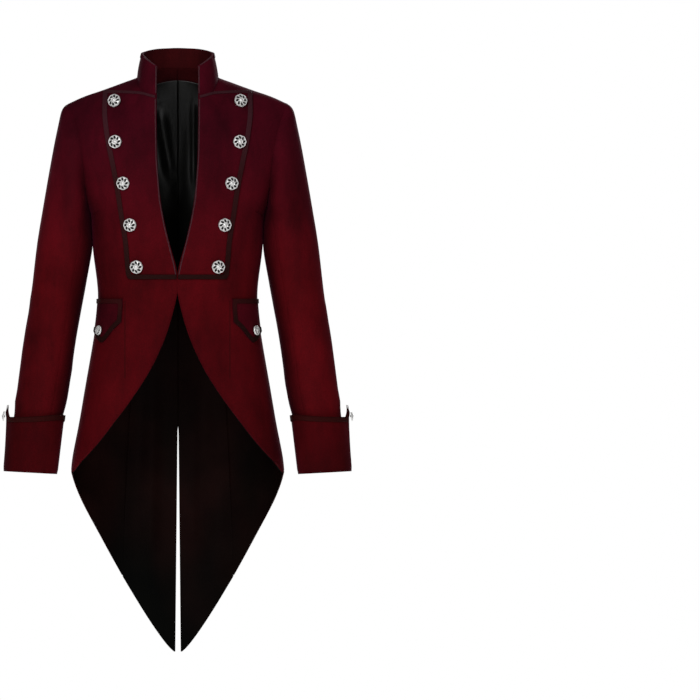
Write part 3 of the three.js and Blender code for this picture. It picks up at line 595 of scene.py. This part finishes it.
def settle_cuff(points):
    """The soft peak of a cuff stands up at its outer side and leans in a little at its tip."""
    x, y, z = points.T
    side = np.sign(x)
    turn = np.arctan2(CUFF_MIDDLE_Y - y, side * x - CUFF_MIDDLE_X)
    peak = np.clip(1 - np.abs(turn) / PEAK_HALF_ANGLE, 0, 1)
    lift = PEAK_LIFT * peak * np.clip((z - PEAK_LIFT_Z) / PEAK_LIFT_RISE, 0, 1)
    lean = PEAK_LEAN * peak * np.clip((z - PEAK_LEAN_Z) / PEAK_LEAN_RISE, 0, 1)
    points[:, 0] -= side * lean
    points[:, 2] += lift
    return points


# The lining's two backs meet level at the centre seam.
CENTRE_WIDTH = 0.007
CENTRE_LIFT = 0.0003
# Folds of the lining that show through the front opening: x and z of both ends,
# the width and the height of the ridge.
LINING_FOLDS = (
    ((-0.037, -0.030), (-0.009, -0.185), 0.012, 0.0075),
    ((0.0285, -0.015), (0.0285, -0.200), 0.0055, 0.0045),
    ((0.006, -0.060), (0.002, -0.240), 0.012, 0.0030),
    ((-0.058, -0.060), (-0.040, -0.230), 0.014, 0.0040),
    ((0.060, -0.050), (0.046, -0.250), 0.012, 0.0035),
    ((-0.110, -0.430), (-0.120, -0.760), 0.022, 0.0030),
    ((0.112, -0.450), (0.118, -0.740), 0.020, 0.0030),
    ((-0.045, -0.450), (-0.052, -0.900), 0.016, 0.0028),
    ((0.048, -0.470), (0.040, -0.880), 0.015, 0.0026),
)


def settle_lining(points):
    """The lining's own folds stand in from the shell, towards the hollow."""
    x, y, z = points.T
    move = np.zeros(len(points))
    for start, end, width, height in LINING_FOLDS:
        move += fold(x, z, start, end, width, height)
    move += CENTRE_LIFT * np.clip(1 - np.abs(x) / CENTRE_WIDTH, 0, 1) ** 2
    points[:, 1] -= move * np.clip(y / BACK_FADE, 0, 1)
    return settle_body(points)


def rim_normals(work):
    """For each vertex of a cut edge, the normals of the cut edge's faces there."""
    found = {}
    crease = work.edges.layers.float["crease_edge"]
    for face in work.faces:
        hard = [edge for edge in face.edges if edge[crease] > 0.5]
        apart = any(not set(a.verts) & set(b.verts) for a in hard for b in hard)
        if apart and min(edge.calc_length() for edge in face.edges) < WIDEST_WALL:
            for vertex in face.verts:
                found.setdefault(vertex, []).append(face.normal.copy())
    return found


def ways_off(mesh):
    """For each vertex the moves that take it off its wall or its cut edge, as a 3 by 3 matrix."""
    work = bmesh.new()
    work.from_mesh(mesh)
    crease = work.edges.layers.float["crease_edge"]
    ways = np.zeros((len(work.verts), 3, 3))
    for vertex in work.verts:
        hard = [edge.other_vert(vertex).co for edge in vertex.link_edges if edge[crease] > 0.5]
        if len(hard) == 2:
            along = np.array((hard[1] - hard[0]).normalized())
            ways[vertex.index] = np.eye(3) - np.outer(along, along)
        elif hard:
            ways[vertex.index] = np.eye(3)
        else:
            normal = np.array(vertex.normal)
            ways[vertex.index] = np.outer(normal, normal)
    work.free()
    return ways


def interpolated(piece, levels):
    """Subdivides so that the smooth cloth still passes where its solid's own vertices lie."""
    divide = piece.modifiers.new("smooth", "SUBSURF")
    divide.levels = levels
    divide.render_levels = levels
    mesh = piece.data
    wanted = coordinates(mesh)
    control = wanted.copy()
    ways = ways_off(mesh)
    for _ in range(FITTING_ROUNDS):
        dense = evaluated_mesh(piece)
        off = wanted - coordinates(dense)[:len(wanted)]
        control += FITTING_STEP * np.einsum("nij,nj->ni", ways, off)
        mesh.vertices.foreach_set("co", control.ravel())
        mesh.update()
        bpy.data.meshes.remove(dense)
    dense = evaluated_mesh(piece)
    piece.modifiers.clear()
    piece.data = dense
    return dense


def dip_seams(mesh):
    """Lowers the face side of each cut edge a little, so that seams show as soft grooves."""
    work = bmesh.new()
    work.from_mesh(mesh)
    moves = {}
    for edge in work.edges:
        if len(edge.link_faces) == 2 and edge.calc_face_angle(0) > CREASE_ANGLE:
            wall = max(edge.link_faces, key=lambda face: face.calc_area())
            for vertex in edge.verts:
                moves[vertex] = wall.normal.copy()
    for vertex, normal in moves.items():
        outward = Vector((vertex.co.x * TORSO_FLATNESS, vertex.co.y, 0))
        if abs(vertex.co.x) < TORSO_HALF_WIDTH and normal.dot(outward) < 0:
            continue
        vertex.co -= normal * SEAM_DIP
    work.to_mesh(mesh)
    work.free()


def growth_at(name, place, outward):
    """How far a cut edge grows: more at the neck and armholes, where the solids stand apart."""
    # Positive where the cut edge faces away from the middle, in x.
    sideways = outward.x * place.x
    by_armhole = place.z > ARMHOLE_LOW_Z
    shell = name.startswith(("front_", "back_", "side_back_")) and "lining" not in name
    if name == "collar" and outward.z < -0.4:
        return COLLAR_SIDE_GROWTH if abs(place.x) > COLLAR_SIDE_X else WIDE_GROWTH
    if "sleeve" in name and by_armhole and (sideways < -0.02 or outward.z > 0.3):
        return WIDE_GROWTH
    if shell and by_armhole and abs(place.x) > ARMHOLE_X and sideways > 0.03:
        return ARMHOLE_GROWTH
    if "lining" in name and place.z < TAILS_Z:
        return TAIL_LINING_GROWTH
    return SEAM_GROWTH


def smoothed(name, levels, settle=None, dips=False):
    """A dense copy of a node's wall with its rims kept sharp, then settled into folds.

    dips lowers its face side along the cut edges.
    """
    mesh = NODES[name].data.copy()
    work = bmesh.new()
    work.from_mesh(mesh)
    bmesh.ops.remove_doubles(work, verts=work.verts, dist=WELD_DISTANCE)
    bmesh.ops.join_triangles(work, faces=work.faces, angle_face_threshold=0.5,
                             angle_shape_threshold=1.2)
    crease = work.edges.layers.float.new("crease_edge")
    corner = work.verts.layers.float.new("crease_vert")
    for edge in work.edges:
        if len(edge.link_faces) == 2 and edge.calc_face_angle(0) > CREASE_ANGLE:
            edge[crease] = 1.0
    for vertex, normals in rim_normals(work).items():
        groups = []
        for normal in normals:
            same = [group for group in groups if normal.angle(group[0]) < CORNER_ANGLE]
            if same:
                same[0].append(normal)
            else:
                groups.append([normal])
        if len(groups) > 1:
            vertex[corner] = 1.0
        place = vertex.co.copy()
        for group in groups:
            outward = sum(group, Vector()).normalized()
            vertex.co += growth_at(name, place, outward) * outward
    work.to_mesh(mesh)
    work.free()
    piece = placed(bpy.data.objects.new(f"{name}_cloth", mesh))
    dense = interpolated(piece, levels)
    if dips:
        dip_seams(dense)
    if settle is not None:
        dense.vertices.foreach_set("co", settle(coordinates(dense)).ravel())
    dense.shade_smooth()
    dense.set_sharp_from_angle(angle=CLOTH_SHARP_ANGLE)
    return piece


def dress(piece, node, material):
    """Gives a piece its material and has it stand in for its node."""
    piece.data.materials.clear()
    piece.data.materials.append(material)
    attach(piece, "root")
    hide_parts(node)


# Each paired piece's material, slot and how it settles.
CLOTH_LOOKS = {
    "front": (VELVET, "velvet", settle_body),
    "front_lining": (SATIN, "lining", settle_body),
    "back": (VELVET, "velvet", settle_body),
    "neck_facing": (INSIDE_VELVET, "velvet", settle_body),
    "back_lining": (SATIN, "lining", settle_lining),
    "side_back": (VELVET, "velvet", settle_body),
    "side_back_lining": (SATIN, "lining", settle_lining),
    "plastron": (VELVET, "velvet", settle_laid),
    "plastron_braid": (BRAID, "braid", settle_laid_braid),
    "pocket_flap": (FLAP_VELVET_PAINTED_SHADE, "velvet", settle_laid),
    "flap_braid": (FLAP_BRAID, "braid", settle_laid_braid),
    "upper_sleeve": (SLEEVE_VELVET_PAINTED_LIGHT, "velvet", settle_sleeve),
    "under_sleeve": (SLEEVE_VELVET_PAINTED_LIGHT, "velvet", settle_sleeve),
    "cuff": (CUFF_VELVET_PAINTED_SHADE, "velvet", settle_cuff),
    "cuff_braid": (CUFF_BRAID, "braid", settle_cuff),
}

cloths = {}
for kind, (material, slot_name, settle) in CLOTH_LOOKS.items():
    for side in SIDES:
        node = f"{kind}_{side}"
        levels = LINING_LEVELS if "lining" in kind else SHELL_LEVELS
        piece = smoothed(node, levels, settle, dips=material in VELVETS)
        dress(piece, node, material)
        cloths[node] = piece
for node, material, slot_name in (("collar", VELVET, "velvet"),
                                  ("collar_binding", BRAID, "braid")):
    cloths[node] = smoothed(node, SHELL_LEVELS)
    dress(cloths[node], node, material)

# The collar's inner side has the shorter pile of the neck facing.
cloths["collar"].data.materials.append(INSIDE_VELVET)
for face in cloths["collar"].data.polygons:
    outward = Vector((face.center.x, face.center.y, 0))
    if face.normal.dot(outward) < 0:
        face.material_index = 1

for kind, (width, length, area, held) in SHEETS.items():
    for side in SIDES[:1] if kind == "collar" else SIDES:
        node = kind if kind == "collar" else f"{kind}_{side}"


def frame_of_button(node):
    """The middle of a button's back, its outward axis and its radius, from its CAD node."""
    mesh = NODES[node].data
    points = np.array([v.co for v in mesh.vertices])
    points = np.unique(np.round(points, 6), axis=0)
    spread, directions = np.linalg.eigh(np.cov((points - points.mean(0)).T))
    # The axis is the direction whose spread is unlike the other two.
    odd = 0 if spread[1] - spread[0] > spread[2] - spread[1] else 2
    axis = directions[:, odd]
    outward = np.array([points.mean(0)[0], points.mean(0)[1], 0])
    if axis @ outward < 0:
        axis = -axis
    along = points @ axis
    flat = points - np.outer(along, axis)
    apex = flat[along.argmax()]
    radius = np.linalg.norm(flat - apex, axis=1).max()
    middle = apex + axis * (along.max() - BUTTON_DEPTH * radius)
    return Vector(middle), Vector(axis), float(radius)


def button_height(rho, turn):
    """Height over the back, in radii, of the openwork dome, and whether it lies in a hole or in
    the groove, where it takes painted shade.
    """
    dome = DOME_BASE + DOME_RISE * (1 - rho ** 2)
    sector = 2 * math.pi / HOLES_IN_BUTTON
    off = ((turn + sector / 2) % sector - sector / 2) * rho
    swirl = HOLE_SWIRL * (rho - HOLE_MIDDLE)
    hole = ((off - swirl) / HOLE_HALF_WIDTH) ** 2 + ((rho - HOLE_MIDDLE) / HOLE_HALF_LENGTH) ** 2
    sunk = np.clip(2.4 - 2.0 * hole, 0, 1)
    groove = bell(rho, GROOVE_RADIUS, GROOVE_WIDTH)
    rim = RIM_HEIGHT * bell(rho, RIM_RADIUS, RIM_WIDTH)
    boss = BOSS_HEIGHT * bell(rho, 0.0, BOSS_WIDTH)
    edge = np.clip((1 - rho) / EDGE_WIDTH, 0, 1) ** 0.5
    height = (dome + rim + boss) * edge - GROOVE_DEPTH * groove - HOLE_DEPTH * sunk * edge
    return height, (sunk > 0.15) | (groove > 0.75)


def openwork_button(node):
    """A domed openwork button on its shank, in place of a plain CAD one."""
    middle, axis, radius = frame_of_button(node)
    up = Vector((0, 0, 1))
    across = up.cross(axis).normalized()
    upward = axis.cross(across)
    work = bmesh.new()
    rings = []
    for step in range(1, BUTTON_RING_STEPS + 1):
        rho = (step / BUTTON_RING_STEPS) ** 0.9
        turns = np.arange(BUTTON_TURN_STEPS) * 2 * math.pi / BUTTON_TURN_STEPS
        height, sunk = button_height(np.full(len(turns), rho), turns)
        turns, height = turns.tolist(), height.tolist()
        ring = []
        for turn, level, low in zip(turns, height, sunk):
            reach = rho * (1 + RIM_LOBES * rho * math.cos(HOLES_IN_BUTTON * turn))
            place = middle + radius * (reach * math.cos(turn) * across
                                       + reach * math.sin(turn) * upward + level * axis)
            ring.append((work.verts.new(place), low))
        rings.append(ring)
    top, _ = button_height(np.zeros(1), np.zeros(1))
    crown = work.verts.new(middle + radius * float(top[0]) * axis)
    count = BUTTON_TURN_STEPS
    for i in range(count):
        j = (i + 1) % count
        work.faces.new((crown, rings[0][i][0], rings[0][j][0]))
        for inner, outer in zip(rings, rings[1:]):
            face = work.faces.new((inner[i][0], outer[i][0], outer[j][0], inner[j][0]))
            lows = [inner[i][1], outer[i][1], outer[j][1], inner[j][1]]
            # Faces in the holes and the groove take the painted shade.
            face.material_index = 1 if sum(lows) >= 3 else 0
    # The back and the shank, near-black as painted shade.
    last = [v for v, _ in rings[-1]]
    for share, drop in SHANK_RINGS:
        ring = []
        for i in range(count):
            turn = 2 * math.pi * i / count
            ring.append(work.verts.new(middle + radius * (
                share * math.cos(turn) * across + share * math.sin(turn) * upward
                + drop * axis)))
        for i in range(count):
            j = (i + 1) % count
            work.faces.new((last[i], ring[i], ring[j], last[j])).material_index = 1
        last = ring
    work.faces.new(last).material_index = 1
    bmesh.ops.recalc_face_normals(work, faces=work.faces)
    mesh = bpy.data.meshes.new(f"{node}_openwork")
    work.to_mesh(mesh)
    work.free()
    mesh.shade_smooth()
    mesh.set_sharp_from_angle(angle=BUTTON_SHARP_ANGLE)
    piece = placed(bpy.data.objects.new(f"{node}_openwork", mesh))
    mesh.materials.append(SILVER)
    mesh.materials.append(RECESS_PAINTED_SHADE)
    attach(piece, "root")
    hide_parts(node)


for node in NODES:
    if "button" in node:
        openwork_button(node)


def tree_of(names):
    """The surfaces of these cloths, for finding where a ray meets them."""
    verts, faces = [], []
    for name in names:
        mesh = cloths[name].data
        start = len(verts)
        verts += [v.co.copy() for v in mesh.vertices]
        faces += [[start + i for i in p.vertices] for p in mesh.polygons]
    return BVHTree.FromPolygons(verts, faces)


def rolled_edge(name, path, carriers, side, radius=PIPING_RADIUS, look=PIPING_PAINTED_SHEEN):
    """A thin roll along an x and z path, laid on the carriers by looking along +Y."""
    tree = tree_of(carriers)
    points = []
    for x, z in path:
        hit = tree.ray_cast(Vector((x * side, -1.0, z)), Vector((0, 1, 0)))[0]
        if hit is not None:
            points.append(Vector((hit.x, hit.y - radius * 0.5, hit.z)))
    smooth = []
    for i in range(len(points) - 1):
        for part in (0.0, 0.5):
            smooth.append(points[i].lerp(points[i + 1], part))
    smooth.append(points[-1])
    curve = bpy.data.curves.new(name, "CURVE")
    curve.dimensions = "3D"
    curve.bevel_depth = radius
    curve.bevel_resolution = 2
    spline = curve.splines.new("POLY")
    spline.points.add(len(smooth) - 1)
    for point, place in zip(spline.points, smooth):
        point.co = (*place, 1)
    holder = placed(bpy.data.objects.new(name, curve))
    mesh = evaluated_mesh(holder)
    bpy.data.objects.remove(holder)
    piece = placed(bpy.data.objects.new(name, mesh))
    mesh.materials.clear()
    mesh.materials.append(look)
    mesh.shade_smooth()
    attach(piece, "root")


# The V opening's edge, as z and x, and how far outside it the roll runs.
V_EDGE = ((-0.020, 0.0380), (-0.069, 0.0377), (-0.136, 0.0366), (-0.211, 0.0306),
          (-0.257, 0.0222), (-0.299, 0.0118), (-0.332, 0.0036), (-0.350, 0.0004))
V_EDGE_MARGIN = 0.0022
edge_z = [z for z, _ in V_EDGE][::-1]
edge_x = [x for _, x in V_EDGE][::-1]
v_path = []
for z in np.linspace(-0.028, -0.348, 34).tolist():
    v_path.append((float(np.interp(z, edge_z, edge_x)) + V_EDGE_MARGIN, z))
# The other rolls' lines on the viewer's right, as x and z.
CUTAWAY = ((0.0015, -0.384), (0.0079, -0.411), (0.0172, -0.444), (0.0318, -0.482),
           (0.0527, -0.524), (0.0735, -0.557), (0.1069, -0.603), (0.1362, -0.641),
           (0.1572, -0.666), (0.1760, -0.685))
cut_path = []
for (x0, z0), (x1, z1) in zip(CUTAWAY, CUTAWAY[1:]):
    for part in (0.0, 0.25, 0.5, 0.75):
        cut_path.append((x0 + (x1 - x0) * part, z0 + (z1 - z0) * part))
COLLAR_TOP_LINE = ((0.0370, 0.0318), (0.0450, 0.0371), (0.0530, 0.0427), (0.0580, 0.0465),
                   (0.0612, 0.0492))
COLLAR_FRONT_LINE = ((0.0392, 0.0325), (0.0391, 0.0200), (0.0393, 0.0050), (0.0394, -0.0080),
                     (0.0394, -0.0170))
DART_LINE = tuple((0.0955, z) for z in np.linspace(-0.395, -0.535, 15).tolist())
for side_name, side in (("right", 1), ("left", -1)):
    rolled_edge(f"collar_top_edge_{side_name}", COLLAR_TOP_LINE, ["collar"], side)
    rolled_edge(f"collar_front_edge_{side_name}", COLLAR_FRONT_LINE, ["collar"], side)
    rolled_edge(f"dart_seam_{side_name}", DART_LINE, [f"front_{side_name}"], side,
                DART_RADIUS, BRAID)
    rolled_edge(f"front_rolled_edge_{side_name}", v_path, [f"plastron_{side_name}"], side)
    rolled_edge(f"cutaway_rolled_edge_{side_name}", cut_path, [f"front_{side_name}"], side,
                look=VELVET)

# Camera: the photograph's frame, with the jacket where the photograph has its front view.
half_frame = IMAGE_SIDE / 2
camera_x = (half_frame - ORIGIN_PIXEL_X) * METRES_PER_PIXEL
camera_z = (ORIGIN_PIXEL_Y - half_frame) * METRES_PER_PIXEL
camera_data = bpy.data.cameras.new("camera")
camera_data.sensor_width = SENSOR_MM
camera_data.lens = SENSOR_MM * CAMERA_DISTANCE / (IMAGE_SIDE * METRES_PER_PIXEL)
camera_data.clip_end = 100
camera = placed(bpy.data.objects.new("camera", camera_data))
camera.location = (camera_x, CAMERA_PLANE_Y - CAMERA_DISTANCE, camera_z)
camera.rotation_euler = (math.pi / 2, 0, 0)
bpy.context.scene.camera = camera

# A plain pale floor, well below the tails, so that it stays out of the photograph's frame.
FLOOR_DROP = 0.40
FLOOR_RADIUS = 2.2
floor_mesh = bpy.data.meshes.new("floor")
floor_build = bmesh.new()
bmesh.ops.create_circle(floor_build, cap_ends=True, segments=96, radius=FLOOR_RADIUS)
floor_build.to_mesh(floor_mesh)
floor_build.free()
floor = placed(bpy.data.objects.new("floor", floor_mesh))
floor.location = (0, 0, CAD_BOX[0][2] - FLOOR_DROP)
floor_look = Nodes("floor_look")
floor_look.set(Base_Color=(0.85, 0.85, 0.85, 1), Roughness=0.9)
floor_look.set(Emission_Color=(1, 1, 1, 1), Emission_Strength=0.45)
floor_mesh.materials.append(floor_look.material)


def area_light(name, place, target, size, power):
    """A round lamp at place that faces target."""
    data = bpy.data.lights.new(name, "AREA")
    data.shape = "DISK"
    data.size = size
    data.energy = power
    lamp = placed(bpy.data.objects.new(name, data))
    lamp.location = place
    lamp.rotation_euler = (Vector(target) - Vector(place)).to_track_quat("-Z", "Y").to_euler()


MIDDLE = (0, 0, -0.45)
area_light("key", (-1.2, -4.1, 1.3), MIDDLE, 1.3, 71)
area_light("fill", (1.3, -4.1, 0.2), MIDDLE, 1.8, 22)
area_light("back_key", (1.2, 4.1, 1.3), MIDDLE, 1.3, 76)
area_light("back_fill", (-1.3, 4.1, 0.2), MIDDLE, 1.8, 26)

world = bpy.data.worlds.new("studio")
world.use_nodes = True
bpy.context.scene.world = world
# White to the camera and dimmer to the cloth, as a jacket cut out on white.
sky = world.node_tree
backdrop = sky.nodes["Background"]
backdrop.inputs["Color"].default_value = (1, 1, 1, 1)
backdrop.inputs["Strength"].default_value = 1.0
room = sky.nodes.new("ShaderNodeBackground")
room.inputs["Color"].default_value = (1, 0.99, 0.98, 1)
room.inputs["Strength"].default_value = 0.15
seen = sky.nodes.new("ShaderNodeLightPath")
choose = sky.nodes.new("ShaderNodeMixShader")
sky.links.new(seen.outputs["Is Camera Ray"], choose.inputs["Fac"])
sky.links.new(room.outputs["Background"], choose.inputs[1])
sky.links.new(backdrop.outputs["Background"], choose.inputs[2])
sky.links.new(choose.outputs["Shader"], sky.nodes["World Output"].inputs["Surface"])
bpy.context.scene.view_settings.view_transform = "Standard"
